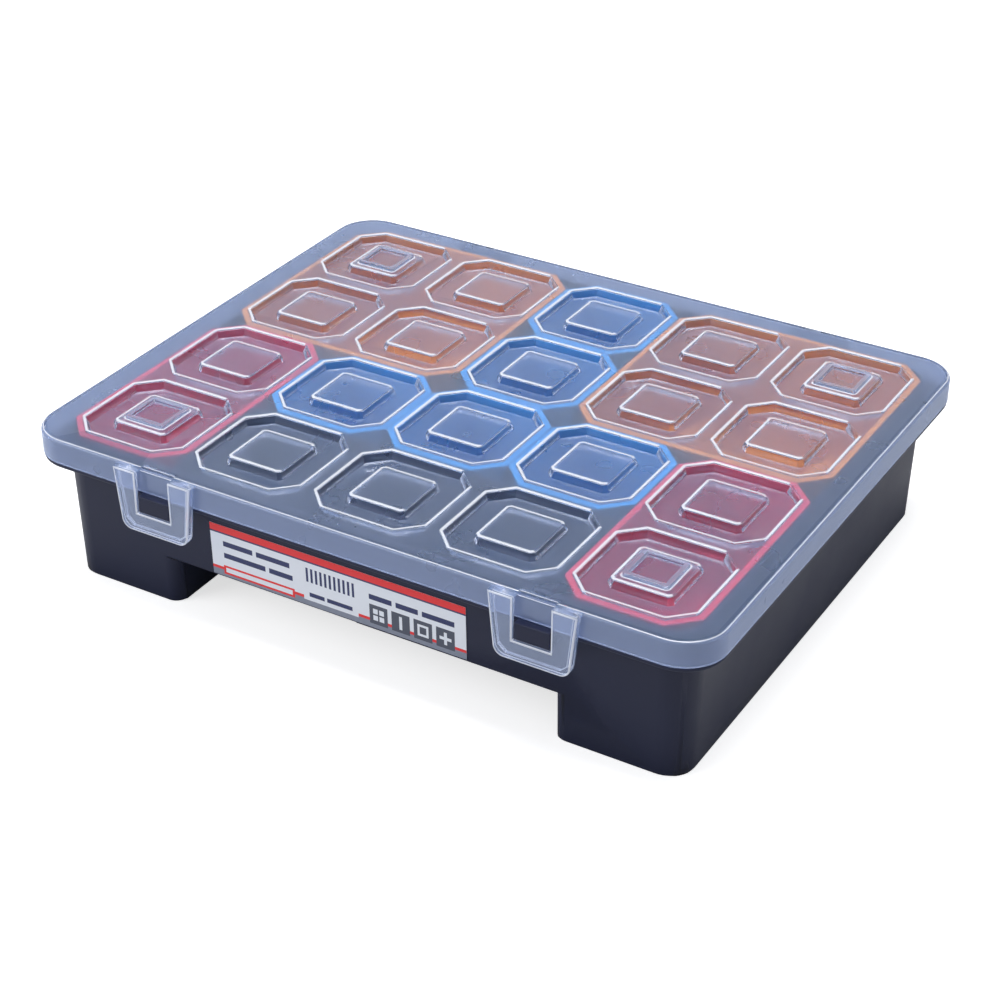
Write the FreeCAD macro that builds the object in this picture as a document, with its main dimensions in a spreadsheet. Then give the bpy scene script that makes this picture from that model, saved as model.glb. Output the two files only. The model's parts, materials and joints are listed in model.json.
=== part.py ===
"""Compartment organizer box: a moulded tray with lift-out bins under a hinged, latched, see-through lid.

Millimetres. The origin is on the ground under the middle of the whole box, +Z up, the latches face -Y.
Every body is drawn about the middle of the cell grid and then placed.
"""

import FreeCAD, Part

import math
import os

import Sketcher

COLUMNS = 5
ROWS = 4

SIZES = (
    ("cell_pitch", 50.8, "spacing of the cells, for the lid recesses and the bins alike"),
    ("foot_height", 1.6, "rim under the tray that it stands on"),
    ("foot_width", 3.0, "width of that rim"),
    ("floor_wall", 1.8, "tray floor"),
    ("bin_height", 55.7, "bin, from its underside to its rim"),
    ("bin_lid_gap", 0.3, "air between a bin's rim and the lid"),
    ("lid_wall", 1.2, "lid web, its recess walls and floors"),
    ("ring_height", 1.4, "stacking ring above the lid web"),
    ("lid_margin_x", 9.5, "lid edge beyond the cell grid, left and right"),
    ("lid_margin_y", 8.4, "lid edge beyond the cell grid, front and back"),
    ("lid_corner", 16.0, "lid corner radius"),
    ("lid_edge", 1.4, "rounding of the lid's top edge"),
    ("skirt_height", 9.8, "lid skirt, from the web's top to its lower edge"),
    ("skirt_wall", 1.5, "lid skirt thickness"),
    ("recess_half", 21.9, "half width of a lid recess at the web"),
    ("recess_chamfer", 7.5, "corner cut of a lid recess"),
    ("recess_depth", 2.9, "depth of a lid recess"),
    ("recess_slope", 26.0, "lean of the recess and plateau walls, in degrees"),
    ("plateau_half", 11.3, "half width of the plateau in each recess, at its top"),
    ("plateau_chamfer", 1.3, "corner cut of the plateau"),
    ("ring_half", 8.5, "half width of a stacking ring"),
    ("ring_wall", 1.8, "width of the ring's rib"),
    ("ring_corner", 1.2, "outer corner radius of the ring"),
    ("ring_clearance", 0.4, "room between a ring and the frame under the next box"),
    ("frame_wall", 1.2, "rib of a stacking frame under the tray"),
    ("tray_wall", 1.5, "tray side walls"),
    ("tray_draft", 1.7, "lean of the tray side walls, in degrees"),
    ("tray_corner", 10.0, "tray corner radius at the ground"),
    ("bin_side_room", 1.0, "air between the tray wall and the bins, at the top"),
    ("wall_rim_gap", 0.4, "air between the tray wall's top and the bin rims over it"),
    ("flange_wall", 1.4, "flange round the tray, under the lid skirt"),
    ("flange_gap", 0.2, "air between the flange and the lid skirt"),
    ("flange_inset", 0.3, "flange edge, set back from the lid edge"),
    ("notch_height", 19.5, "height of the finger notch under the front"),
    ("notch_room", 0.4, "air between the notch's side walls and the bins beside them"),
    ("notch_corner", 3.5, "inner rounding of the upright front corners beside the notch"),
    ("bin_gap", 0.2, "bin rim, set back from the edge of its cells"),
    ("bin_rim", 1.3, "bin rim, outwards from the bin wall"),
    ("bin_rim_wall", 1.2, "thickness of the bin rim"),
    ("bin_wall", 1.0, "bin side walls"),
    ("bin_floor", 1.2, "bin floor"),
    ("bin_draft", 3.0, "lean of the bin walls, in degrees"),
    ("bin_chamfer", 9.4, "corner cut of a bin rim"),
    ("station_cells", 1.5, "latches and hinges, in cells from the middle"),
    ("latch_width", 33.0, "latch width at its top"),
    ("latch_foot_width", 28.0, "latch width at its lower edge"),
    ("latch_height", 24.6, "latch, from the lid web's top to its lower edge"),
    ("latch_drop", 0.4, "latch top, below the lid web's top"),
    ("latch_reach", 3.4, "latch front, ahead of the lid skirt"),
    ("latch_wall", 1.4, "latch front plate and side walls"),
    ("latch_corner", 4.0, "rounding of the latch's lower corners"),
    ("latch_gap", 0.3, "air between the latch's side walls and the lid skirt"),
    ("bead_radius", 0.6, "bead along the latch's film hinge"),
    ("bead_clearance", 0.2, "air round that bead"),
    ("window_width", 14.4, "latch window"),
    ("window_sill", 7.7, "bar under the latch window"),
    ("edge_cut", 2.4, "depth, front to back, of the lid edge's cut behind each window"),
    ("edge_cut_drop", 0.7, "drop of that cut below the web's top"),
    ("catch_clearance", 0.5, "air between the catch and the window's sides and sill"),
    ("catch_wall", 2.4, "thickness of the catch"),
    ("catch_setback", 0.5, "catch front, behind the latch front"),
    ("hinge_back", 4.0, "hinge axis behind the lid skirt"),
    ("hinge_rise", 1.2, "hinge axis above the skirt's lower edge"),
    ("knuckle_radius", 3.6, "hinge knuckles and ears"),
    ("knuckle_width", 12.0, "lid knuckle"),
    ("ear_width", 5.0, "tray ear, one each side of a knuckle"),
    ("ear_gap", 0.3, "air between a knuckle and its ears"),
    ("ear_drop", 9.0, "height of an ear's web below the hinge axis, at the tray wall"),
    ("pin_radius", 1.5, "hinge pin"),
    ("pin_grip", 0.02, "room round the pin in the ears"),
    ("pin_play", 0.08, "room round the pin in the knuckle"),
    ("label_width", 105.3, "paper label on the front"),
    ("label_shift", -7.7, "label centre, sideways from the middle"),
    ("label_rise", 0.7, "label's lower edge above the notch"),
    ("label_headroom", 7.4, "label's upper edge below the flange"),
    ("label_sheet", 0.2, "label thickness"),
    ("label_glue", 0.03, "glue under the label"),
)

BINS = (
    ("orange_bin_left", 0, 2, 2, 2),
    ("orange_bin_right", 3, 2, 2, 2),
    ("red_bin_left", 0, 0, 1, 2),
    ("red_bin_right", 4, 0, 1, 2),
    ("blue_bin_back", 2, 3, 1, 1),
    ("blue_bin_middle", 2, 2, 1, 1),
    ("blue_bin_left", 1, 1, 1, 1),
    ("blue_bin_centre", 2, 1, 1, 1),
    ("blue_bin_right", 3, 1, 1, 1),
)

doc = FreeCAD.newDocument("OrganizerBox")
sheet = doc.addObject("Spreadsheet::Sheet", "Sizes")
sub_parts = []


class Dim:
    """A size with its number and the sheet expression that it comes from."""

    def __init__(self, value, text):
        self.value = value
        self.text = text

    def joined(self, sign, other, value):
        return Dim(value, f"({self.text} {sign} {as_dim(other).text})")

    def __add__(self, other):
        return self.joined("+", other, self.value + as_dim(other).value)

    def __sub__(self, other):
        return self.joined("-", other, self.value - as_dim(other).value)

    def __mul__(self, other):
        return self.joined("*", other, self.value * as_dim(other).value)

    def __truediv__(self, other):
        return self.joined("/", other, self.value / as_dim(other).value)

    def __neg__(self):
        return Dim(-self.value, f"(0 - {self.text})")


def as_dim(number):
    return number if isinstance(number, Dim) else Dim(float(number), repr(float(number)))


def tangent(angle):
    return Dim(math.tan(math.radians(angle.value)), f"tan({angle.text})")


class Sizes:
    """The sheet's cells, one attribute each."""


def fill_sheet():
    sizes = Sizes()
    for row, (alias, value, note) in enumerate(SIZES, 1):
        sheet.set(f"A{row}", note)
        sheet.set(f"B{row}", str(value))
        sheet.setAlias(f"B{row}", alias)
        setattr(sizes, alias, Dim(value, f"Sizes.{alias}"))
    doc.recompute()
    return sizes


def bind(item, name, size):
    item.setExpression(name, as_dim(size).text)


def origin_item(body, role):
    return next(item for item in body.Origin.OriginFeatures if item.Role == role)


def new_body(label, x=0, y=0, z=0):
    body = doc.addObject("PartDesign::Body", label)
    body.Label = label
    for axis, size in (("x", x), ("y", y), ("z", z)):
        bind(body, f"Placement.Base.{axis}", size)
    sub_parts.append(body)
    return body


def new_sketch(body, name, height=0, plane="XY_Plane"):
    sketch = body.newObject("Sketcher::SketchObject", name)
    sketch.AttachmentSupport = [(origin_item(body, plane), "")]
    sketch.MapMode = "FlatFace"
    bind(sketch, "AttachmentOffset.Base.z", height)
    return sketch


def set_size(sketch, constraint, size):
    number = sketch.addConstraint(constraint)
    bind(sketch, f"Constraints[{number}]", size)


def hold_point(sketch, edge, end, x, y):
    """Ties one point of an edge to its distances from the sketch's origin."""
    for kind, size, axis in (("DistanceX", as_dim(x), -2), ("DistanceY", as_dim(y), -1)):
        if abs(size.value) < 1e-9:
            sketch.addConstraint(Sketcher.Constraint("PointOnObject", edge, end, axis))
        elif size.value > 0:
            set_size(sketch, Sketcher.Constraint(kind, -1, 1, edge, end, size.value), size)
        else:
            set_size(sketch, Sketcher.Constraint(kind, edge, end, -1, 1, -size.value), -size)


def draw_polygon(sketch, corners):
    corners = [(as_dim(x), as_dim(y)) for x, y in corners]
    points = [FreeCAD.Vector(x.value, y.value, 0) for x, y in corners]
    first = sketch.GeometryCount
    count = len(points)
    for i in range(count):
        sketch.addGeometry(Part.LineSegment(points[i], points[(i + 1) % count]), False)
    for i, (x, y) in enumerate(corners):
        following = first + (i + 1) % count
        sketch.addConstraint(Sketcher.Constraint("Coincident", first + i, 2, following, 1))
        hold_point(sketch, first + i, 1, x, y)


def draw_rectangle(sketch, low_x, low_y, high_x, high_y):
    draw_polygon(sketch, [(low_x, low_y), (high_x, low_y), (high_x, high_y), (low_x, high_y)])


def draw_octagon(sketch, x, y, half_x, half_y, chamfer):
    """A rectangle about (x, y) with its corners cut off at 45 degrees."""
    short_x = half_x - chamfer
    short_y = half_y - chamfer
    draw_polygon(sketch, [
        (x - short_x, y - half_y), (x + short_x, y - half_y),
        (x + half_x, y - short_y), (x + half_x, y + short_y),
        (x + short_x, y + half_y), (x - short_x, y + half_y),
        (x - half_x, y + short_y), (x - half_x, y - short_y),
    ])


def moved_chamfer(chamfer, distance):
    """Corner cut of an octagon all of whose sides have moved out by a distance."""
    return chamfer + distance * (2 - math.sqrt(2))


def draw_round_rectangle(sketch, x, y, half_x, half_y, radius):
    """Four straight sides joined by tangent arcs of one radius."""
    first = sketch.GeometryCount
    short_x = half_x - radius
    short_y = half_y - radius
    centres = [
        (x + short_x, y - short_y), (x + short_x, y + short_y),
        (x - short_x, y + short_y), (x - short_x, y - short_y),
    ]
    quarter = math.pi / 2
    up = FreeCAD.Vector(0, 0, 1)
    arcs = []
    for turn, (cx, cy) in enumerate(centres, -1):
        circle = Part.Circle(FreeCAD.Vector(cx.value, cy.value, 0), up, radius.value)
        arcs.append(Part.ArcOfCircle(circle, turn * quarter, (turn + 1) * quarter))
    for i, arc in enumerate(arcs):
        sketch.addGeometry(arc, False)
        sketch.addGeometry(Part.LineSegment(arc.EndPoint, arcs[(i + 1) % 4].StartPoint), False)
    for i, (cx, cy) in enumerate(centres):
        arc = first + 2 * i
        following = first + (2 * i + 2) % 8
        sketch.addConstraint(Sketcher.Constraint("Tangent", arc, 2, arc + 1, 1))
        sketch.addConstraint(Sketcher.Constraint("Tangent", arc + 1, 2, following, 1))
        hold_point(sketch, arc, 3, cx, cy)
        set_size(sketch, Sketcher.Constraint("Radius", arc, radius.value), radius)


def draw_circle(sketch, x, y, radius):
    x, y = as_dim(x), as_dim(y)
    edge = sketch.GeometryCount
    centre = FreeCAD.Vector(x.value, y.value, 0)
    sketch.addGeometry(Part.Circle(centre, FreeCAD.Vector(0, 0, 1), radius.value), False)
    hold_point(sketch, edge, 3, x, y)
    set_size(sketch, Sketcher.Constraint("Radius", edge, radius.value), radius)


def extrude(body, kind, sketch, length, reverse, taper, both_ways):
    before = body.Tip.Shape.Volume if body.Tip else 0.0
    feature = body.newObject(f"PartDesign::{kind}", f"{sketch.Label}_{kind.lower()}")
    feature.Profile = sketch
    bind(feature, "Length", length)
    feature.Reversed = reverse
    feature.Midplane = both_ways
    if taper is not None:
        bind(feature, "TaperAngle", taper)
    doc.recompute()
    gained = feature.Shape.Volume - before
    if (gained > 0) != (kind == "Pad"):
        raise RuntimeError(f"{feature.Label} changed the volume by {gained:.3f} mm3")
    return feature


def pad(body, sketch, length, reverse=False, taper=None, both_ways=False):
    return extrude(body, "Pad", sketch, length, reverse, taper, both_ways)


def pocket(body, sketch, length, reverse=False, taper=None, both_ways=False):
    return extrude(body, "Pocket", sketch, length, reverse, taper, both_ways)


def fillet(body, name, radius, chosen):
    """Rounds the edges of the body's last feature for which chosen(edge) is true."""
    base = body.Tip
    edges = [f"Edge{i}" for i, edge in enumerate(base.Shape.Edges, 1) if chosen(edge)]
    feature = body.newObject("PartDesign::Fillet", name)
    feature.Base = (base, edges)
    bind(feature, "Radius", radius)
    doc.recompute()
    return feature


def grid_pattern(body, name, features, steps):
    """Repeats features along X and Y; steps holds (role of the axis, length, count)."""
    patterns = []
    for role, length, count in steps:
        pattern = doc.addObject("PartDesign::LinearPattern", f"{name}_{role[0].lower()}")
        pattern.Direction = (origin_item(body, role), [""])
        bind(pattern, "Length", length)
        pattern.Occurrences = count
        patterns.append(pattern)
    grid = body.newObject("PartDesign::MultiTransform", name)
    grid.Originals = features
    grid.Transformations = patterns
    body.Tip = grid
    doc.recompute()
    return grid


def mirror_across_middle(body, name, features):
    """Repeats features on the other side of the box's middle plane."""
    mirror = body.newObject("PartDesign::Mirrored", name)
    mirror.Originals = features
    mirror.MirrorPlane = (origin_item(body, "YZ_Plane"), [""])
    body.Tip = mirror
    doc.recompute()
    return mirror


S = fill_sheet()

# Levels above the ground
floor_top = S.foot_height + S.floor_wall
rim_top = floor_top + S.bin_height
web_low = rim_top + S.bin_lid_gap
web_top = web_low + S.lid_wall
skirt_low = web_top - S.skirt_height
flange_top = skirt_low - S.flange_gap
flange_low = flange_top - S.flange_wall
wall_top = rim_top - S.bin_rim_wall - S.wall_rim_gap
front_floor = S.notch_height + S.floor_wall

# Half sizes about the middle of the cell grid
grid_x = S.cell_pitch * (COLUMNS / 2)
grid_y = S.cell_pitch * (ROWS / 2)
lid_x = grid_x + S.lid_margin_x
lid_y = grid_y + S.lid_margin_y
lean_per_height = tangent(S.tray_draft)
bin_inset = S.bin_gap + S.bin_rim
ground_inset = bin_inset - S.bin_side_room - S.tray_wall + wall_top * lean_per_height
ground_x = grid_x - ground_inset
ground_y = grid_y - ground_inset
front_side = S.cell_pitch * ((COLUMNS - 2) / 2)
front_back = S.cell_pitch * (1 - ROWS / 2)
bin_beside_notch = front_side + bin_inset + (rim_top - front_floor) * tangent(S.bin_draft)
notch_half = bin_beside_notch - S.notch_room - S.tray_wall
station = S.cell_pitch * S.station_cells

# Joint axes
latch_axis_z = web_top - S.bead_radius
hinge_y = lid_y + S.hinge_back
hinge_z = skirt_low + S.hinge_rise

# The middle of the grid lies a little forward of the middle of the whole box
grid_centre = (S.latch_reach - S.hinge_back - S.knuckle_radius) / 2


def corner_cell(count):
    return S.cell_pitch * ((count - 1) / 2)


def make_tray():
    """Moulded tray with a raised front floor over the finger notch, hinge ears and latch catches."""
    body = new_body("base_tray", y=grid_centre)
    add_tray_shell(body)
    add_hinge_ears(body)
    add_catches(body)
    add_front_compartment(body)
    add_underside(body)


def add_tray_shell(body):
    zero = as_dim(0)
    outline = new_sketch(body, "tray_outline")
    draw_round_rectangle(outline, zero, zero, ground_x, ground_y, S.tray_corner)
    pad(body, outline, wall_top, taper=S.tray_draft)

    flange = new_sketch(body, "flange", flange_low)
    flange_x = lid_x - S.flange_inset
    flange_y = lid_y - S.flange_inset
    draw_round_rectangle(flange, zero, zero, flange_x, flange_y, S.lid_corner - S.flange_inset)
    pad(body, flange, S.flange_wall)

    well = new_sketch(body, "well", floor_top)
    lean = floor_top * lean_per_height
    inset = S.tray_wall - lean
    corner = S.tray_corner - inset
    draw_round_rectangle(well, zero, zero, ground_x - inset, ground_y - inset, corner)
    pocket(body, well, wall_top - floor_top, reverse=True, taper=S.tray_draft)


def front_wall_inside(height):
    """Inside of the tray's front wall at a height above the ground, as a distance from the middle."""
    return ground_y - S.tray_wall + height * lean_per_height


def add_front_compartment(body):
    """Walls round the three front middle cells, whose floor is the roof of the finger notch."""
    side = front_side + S.tray_wall / 2
    back = front_back + S.tray_wall / 2
    foot_side = notch_half + S.tray_wall
    sunk = front_wall_inside(as_dim(0)) + S.tray_wall / 2

    walls = new_sketch(body, "compartment_walls", S.notch_height)
    draw_rectangle(walls, -side, -sunk, side, back)
    pad(body, walls, wall_top - S.notch_height)

    foot = new_sketch(body, "compartment_foot")
    draw_rectangle(foot, -foot_side, -sunk, foot_side, back)
    pad(body, foot, front_floor)

    inside = new_sketch(body, "compartment_inside", front_floor)
    front = front_wall_inside(front_floor)
    draw_rectangle(inside, S.tray_wall - side, -front, side - S.tray_wall, back - S.tray_wall)
    pocket(body, inside, wall_top - front_floor, reverse=True)

    notch = new_sketch(body, "finger_notch")
    ahead = lid_y
    draw_rectangle(notch, -notch_half, -ahead, notch_half, back - S.tray_wall)
    pocket(body, notch, S.notch_height, reverse=True)

    def outer_corner(edge):
        middle = edge.CenterOfMass
        upright = abs(edge.tangentAt(edge.FirstParameter).z) > 0.9
        beside = abs(abs(middle.x) - notch_half.value) < 0.01
        return upright and beside and middle.y < -front_wall_inside(as_dim(0)).value

    def inner_corner(edge):
        middle = edge.CenterOfMass
        upright = abs(edge.tangentAt(edge.FirstParameter).z) > 0.9
        beside = abs(abs(middle.x) - foot_side.value) < 0.01
        return upright and beside and middle.y < -sunk.value + S.tray_wall.value and middle.z > floor_top.value

    fillet(body, "notch_outer_corners", S.notch_corner + S.tray_wall, outer_corner)
    fillet(body, "notch_inner_corners", S.notch_corner, inner_corner)


def add_underside(body):
    """Hollow inside the standing rim, with a square frame over each ring of a box below."""
    foot_x = ground_x - S.foot_width
    foot_y = ground_y - S.foot_width
    arm_x = notch_half + S.foot_width
    arm_y = front_back + S.foot_width
    hollow = new_sketch(body, "underside")
    draw_polygon(hollow, [
        (-foot_x, -foot_y), (-arm_x, -foot_y), (-arm_x, arm_y), (arm_x, arm_y),
        (arm_x, -foot_y), (foot_x, -foot_y), (foot_x, foot_y), (-foot_x, foot_y),
    ])
    pocket(body, hollow, S.foot_height, reverse=True)

    frame = new_sketch(body, "stacking_frame")
    x, y = -corner_cell(COLUMNS), -corner_cell(ROWS)
    inner = S.ring_half + S.ring_clearance
    outer = inner + S.frame_wall
    draw_rectangle(frame, x - outer, y - outer, x + outer, y + outer)
    draw_rectangle(frame, x - inner, y - inner, x + inner, y + inner)
    rib = pad(body, frame, S.foot_height)
    across = ("X_Axis", corner_cell(COLUMNS) * 2, 2)
    along = ("Y_Axis", corner_cell(ROWS) * 2, 2)
    grid_pattern(body, "stacking_frames", [rib], [across, along])


def add_catches(body):
    """Tabs on the flange that reach into the latch windows, each with two gussets behind it."""
    half = S.window_width / 2 - S.catch_clearance
    front = lid_y + S.latch_reach - S.catch_setback
    back = front - S.catch_wall
    low = web_top - S.latch_height + S.window_sill + S.catch_clearance
    tab = new_sketch(body, "catch", low)
    draw_rectangle(tab, station - half, -front, station + half, -back)
    plate = pad(body, tab, flange_top - low)

    neck = new_sketch(body, "catch_neck", flange_low)
    draw_rectangle(neck, station - half, -back, station + half, S.lid_corner / 4 - lid_y)
    bridge = pad(body, neck, S.flange_wall)

    features = [plate, bridge]
    wall_at_low = ground_y + low * lean_per_height
    for name, edge in (("left", station - half), ("right", station + half - S.tray_wall)):
        gusset = new_sketch(body, f"gusset_{name}", low)
        draw_rectangle(gusset, edge, -back, edge + S.tray_wall, S.tray_wall / 2 - wall_at_low)
        features.append(pad(body, gusset, flange_low - low))
    mirror_across_middle(body, "catches", features)


def add_hinge_ears(body):
    """Two ears a side behind the tray, with their webs under the lid skirt, bored for the pins."""
    inner = S.knuckle_width / 2 + S.ear_gap
    features = []
    wall = ground_y + (hinge_z - S.ear_drop) * lean_per_height - S.tray_wall / 2
    for name, start in (("near", station - inner - S.ear_width), ("far", station + inner)):
        web = new_sketch(body, f"ear_web_{name}", start, "YZ_Plane")
        draw_polygon(web, [
            (wall, hinge_z - S.ear_drop), (hinge_y, hinge_z - S.knuckle_radius),
            (hinge_y, flange_top), (wall, flange_top),
        ])
        features.append(pad(body, web, S.ear_width))
        eye = new_sketch(body, f"ear_eye_{name}", start, "YZ_Plane")
        draw_circle(eye, hinge_y, hinge_z, S.knuckle_radius)
        features.append(pad(body, eye, S.ear_width))
    bore = new_sketch(body, "ear_bore", station, "YZ_Plane")
    draw_circle(bore, hinge_y, hinge_z, S.pin_radius + S.pin_grip)
    features.append(pocket(body, bore, (inner + S.ear_width) * 2, both_ways=True))
    mirror_across_middle(body, "hinge_ears", features)


def make_lid():
    """See-through lid: skirt, a grid of recesses with plateaus, stacking rings and hinge knuckles."""
    body = new_body("lid", y=grid_centre)
    add_lid_shell(body)
    add_knuckles(body)
    add_latch_seats(body)
    add_rings(body)
    add_recesses(body)


def add_lid_shell(body):
    zero = as_dim(0)
    outline = new_sketch(body, "lid_outline", skirt_low)
    draw_round_rectangle(outline, zero, zero, lid_x, lid_y, S.lid_corner)
    pad(body, outline, S.skirt_height)
    fillet(body, "lid_top_edge", S.lid_edge, lambda edge: edge.BoundBox.ZMin > web_top.value - 0.01)

    inside = new_sketch(body, "lid_inside", skirt_low)
    corner = S.lid_corner - S.skirt_wall
    draw_round_rectangle(inside, zero, zero, lid_x - S.skirt_wall, lid_y - S.skirt_wall, corner)
    pocket(body, inside, S.skirt_height - S.lid_wall, reverse=True)


def add_recesses(body):
    """One cell of thin wall: a recess pressed down from the web, with a plateau pressed back up."""
    x, y = -corner_cell(COLUMNS), -corner_cell(ROWS)
    slope = tangent(S.recess_slope)
    lid_side = S.lid_wall / Dim(math.cos(math.radians(S.recess_slope.value)), f"cos({S.recess_slope.text})")
    shift = S.lid_wall * slope
    recess_low = web_top - S.recess_depth
    plateau_foot = S.plateau_half + S.recess_depth * slope
    foot_chamfer = moved_chamfer(S.plateau_chamfer, plateau_foot - S.plateau_half)

    boss = new_sketch(body, "recess_outside", web_low)
    boss_half = S.recess_half - shift + lid_side
    boss_chamfer = moved_chamfer(S.recess_chamfer, boss_half - S.recess_half)
    draw_octagon(boss, x, y, boss_half, boss_half, boss_chamfer)
    outside = pad(body, boss, S.recess_depth, reverse=True, taper=-S.recess_slope)

    hollow = new_sketch(body, "recess", web_top)
    draw_octagon(hollow, x, y, S.recess_half, S.recess_half, S.recess_chamfer)
    recess = pocket(body, hollow, S.recess_depth, taper=-S.recess_slope)

    island = new_sketch(body, "plateau", recess_low)
    draw_octagon(island, x, y, plateau_foot, plateau_foot, foot_chamfer)
    plateau = pad(body, island, S.recess_depth, taper=-S.recess_slope)

    under = new_sketch(body, "plateau_inside", recess_low - S.lid_wall)
    under_half = plateau_foot + shift - lid_side
    under_chamfer = moved_chamfer(foot_chamfer, under_half - plateau_foot)
    draw_octagon(under, x, y, under_half, under_half, under_chamfer)
    inside = pocket(body, under, S.recess_depth, reverse=True, taper=-S.recess_slope)

    across = ("X_Axis", corner_cell(COLUMNS) * 2, COLUMNS)
    along = ("Y_Axis", corner_cell(ROWS) * 2, ROWS)
    grid_pattern(body, "recesses", [outside, recess, plateau, inside], [across, along])


def add_rings(body):
    """Square rib on each corner plateau, which a box stacked on top stands round."""
    x, y = -corner_cell(COLUMNS), -corner_cell(ROWS)
    inner = S.ring_half - S.ring_wall
    ring = new_sketch(body, "stacking_ring", web_top)
    draw_round_rectangle(ring, x, y, S.ring_half, S.ring_half, S.ring_corner)
    draw_rectangle(ring, x - inner, y - inner, x + inner, y + inner)
    rib = pad(body, ring, S.ring_height)
    across = ("X_Axis", corner_cell(COLUMNS) * 2, 2)
    along = ("Y_Axis", corner_cell(ROWS) * 2, 2)
    grid_pattern(body, "stacking_rings", [rib], [across, along])


def add_latch_seats(body):
    """Groove for each latch's bead along the lid's front edge, and the cut behind its window."""
    groove = new_sketch(body, "bead_groove", station, "YZ_Plane")
    draw_circle(groove, -lid_y, latch_axis_z, S.bead_radius + S.bead_clearance)
    length = S.latch_width + S.bead_clearance * 2
    seat = pocket(body, groove, length, both_ways=True)

    cut = new_sketch(body, "window_cut", web_top)
    half = S.window_width / 2
    draw_rectangle(cut, station - half, -lid_y - S.latch_reach, station + half, S.edge_cut - lid_y)
    step = pocket(body, cut, S.edge_cut_drop)
    mirror_across_middle(body, "latch_seats", [seat, step])


def add_knuckles(body):
    """Bored knuckles behind the skirt, each on a web that reaches up the skirt."""
    root = lid_y - S.skirt_wall / 2
    web = new_sketch(body, "knuckle_web", station, "YZ_Plane")
    draw_polygon(web, [
        (root, skirt_low), (hinge_y, skirt_low),
        (hinge_y, hinge_z + S.knuckle_radius), (root, web_top - S.lid_edge),
    ])
    arm = pad(body, web, S.knuckle_width, both_ways=True)
    eye = new_sketch(body, "knuckle_eye", station, "YZ_Plane")
    draw_circle(eye, hinge_y, hinge_z, S.knuckle_radius)
    knuckle = pad(body, eye, S.knuckle_width, both_ways=True)
    bore = new_sketch(body, "knuckle_bore", station, "YZ_Plane")
    draw_circle(bore, hinge_y, hinge_z, S.pin_radius + S.pin_play)
    hole = pocket(body, bore, S.knuckle_width * 2, both_ways=True)
    mirror_across_middle(body, "knuckles", [arm, knuckle, hole])


def make_latch(label, side):
    """Shallow box flap with a window, hung from a bead along the lid's front edge."""
    body = new_body(label, station * side, grid_centre - lid_y, latch_axis_z)
    top = S.bead_radius - S.latch_drop
    low = S.bead_radius - S.latch_height
    half = S.latch_width / 2
    foot = S.latch_foot_width / 2

    plan = new_sketch(body, "flap", S.latch_gap, "XZ_Plane")
    draw_polygon(plan, [(-foot, low), (foot, low), (half, top), (-half, top)])
    pad(body, plan, S.latch_reach - S.latch_gap)

    def lower_corner(edge):
        middle = edge.CenterOfMass
        return edge.BoundBox.YLength > 0.1 and middle.z < low.value + 0.01

    fillet(body, "flap_corners", S.latch_corner, lower_corner)

    hollow = new_sketch(body, "flap_inside", S.latch_gap, "XZ_Plane")
    lean = (half - foot) / (top - low)
    inside_top = -S.bead_radius
    inside_low = low + S.latch_wall
    half_at_top = half - S.latch_wall - lean * (top - inside_top)
    half_at_low = foot - S.latch_wall + lean * S.latch_wall
    bevel = S.latch_corner - S.latch_wall
    draw_polygon(hollow, [
        (bevel - half_at_low, inside_low), (half_at_low - bevel, inside_low),
        (half_at_low + lean * bevel, inside_low + bevel), (half_at_top, inside_top),
        (-half_at_top, inside_top), (-half_at_low - lean * bevel, inside_low + bevel),
    ])
    depth = S.latch_reach - S.latch_gap - S.latch_wall
    pocket(body, hollow, depth, reverse=True)

    tongue = new_sketch(body, "hinge_tongue", plane="YZ_Plane")
    draw_rectangle(tongue, -S.latch_gap, -S.bead_radius, 0, top)
    pad(body, tongue, S.latch_width, both_ways=True)
    bead = new_sketch(body, "hinge_bead", plane="YZ_Plane")
    draw_circle(bead, 0, 0, S.bead_radius)
    pad(body, bead, S.latch_width, both_ways=True)

    window = new_sketch(body, "window", plane="XZ_Plane")
    wide = S.window_width / 2
    draw_rectangle(window, -wide, low + S.window_sill, wide, top + S.latch_wall)
    pocket(body, window, S.latch_reach * 4, both_ways=True)


def make_pin(label, side):
    """Plain wire pin through a knuckle and its two ears."""
    length = S.knuckle_width + (S.ear_gap + S.ear_width) * 2
    pin = doc.addObject("Part::Cylinder", label)
    pin.Label = label
    bind(pin, "Radius", S.pin_radius)
    bind(pin, "Height", length)
    pin.Placement.Rotation = FreeCAD.Rotation(FreeCAD.Vector(0, 1, 0), 90)
    bind(pin, "Placement.Base.x", station * side - length / 2)
    bind(pin, "Placement.Base.y", grid_centre + hinge_y)
    bind(pin, "Placement.Base.z", hinge_z)
    sub_parts.append(pin)


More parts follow.
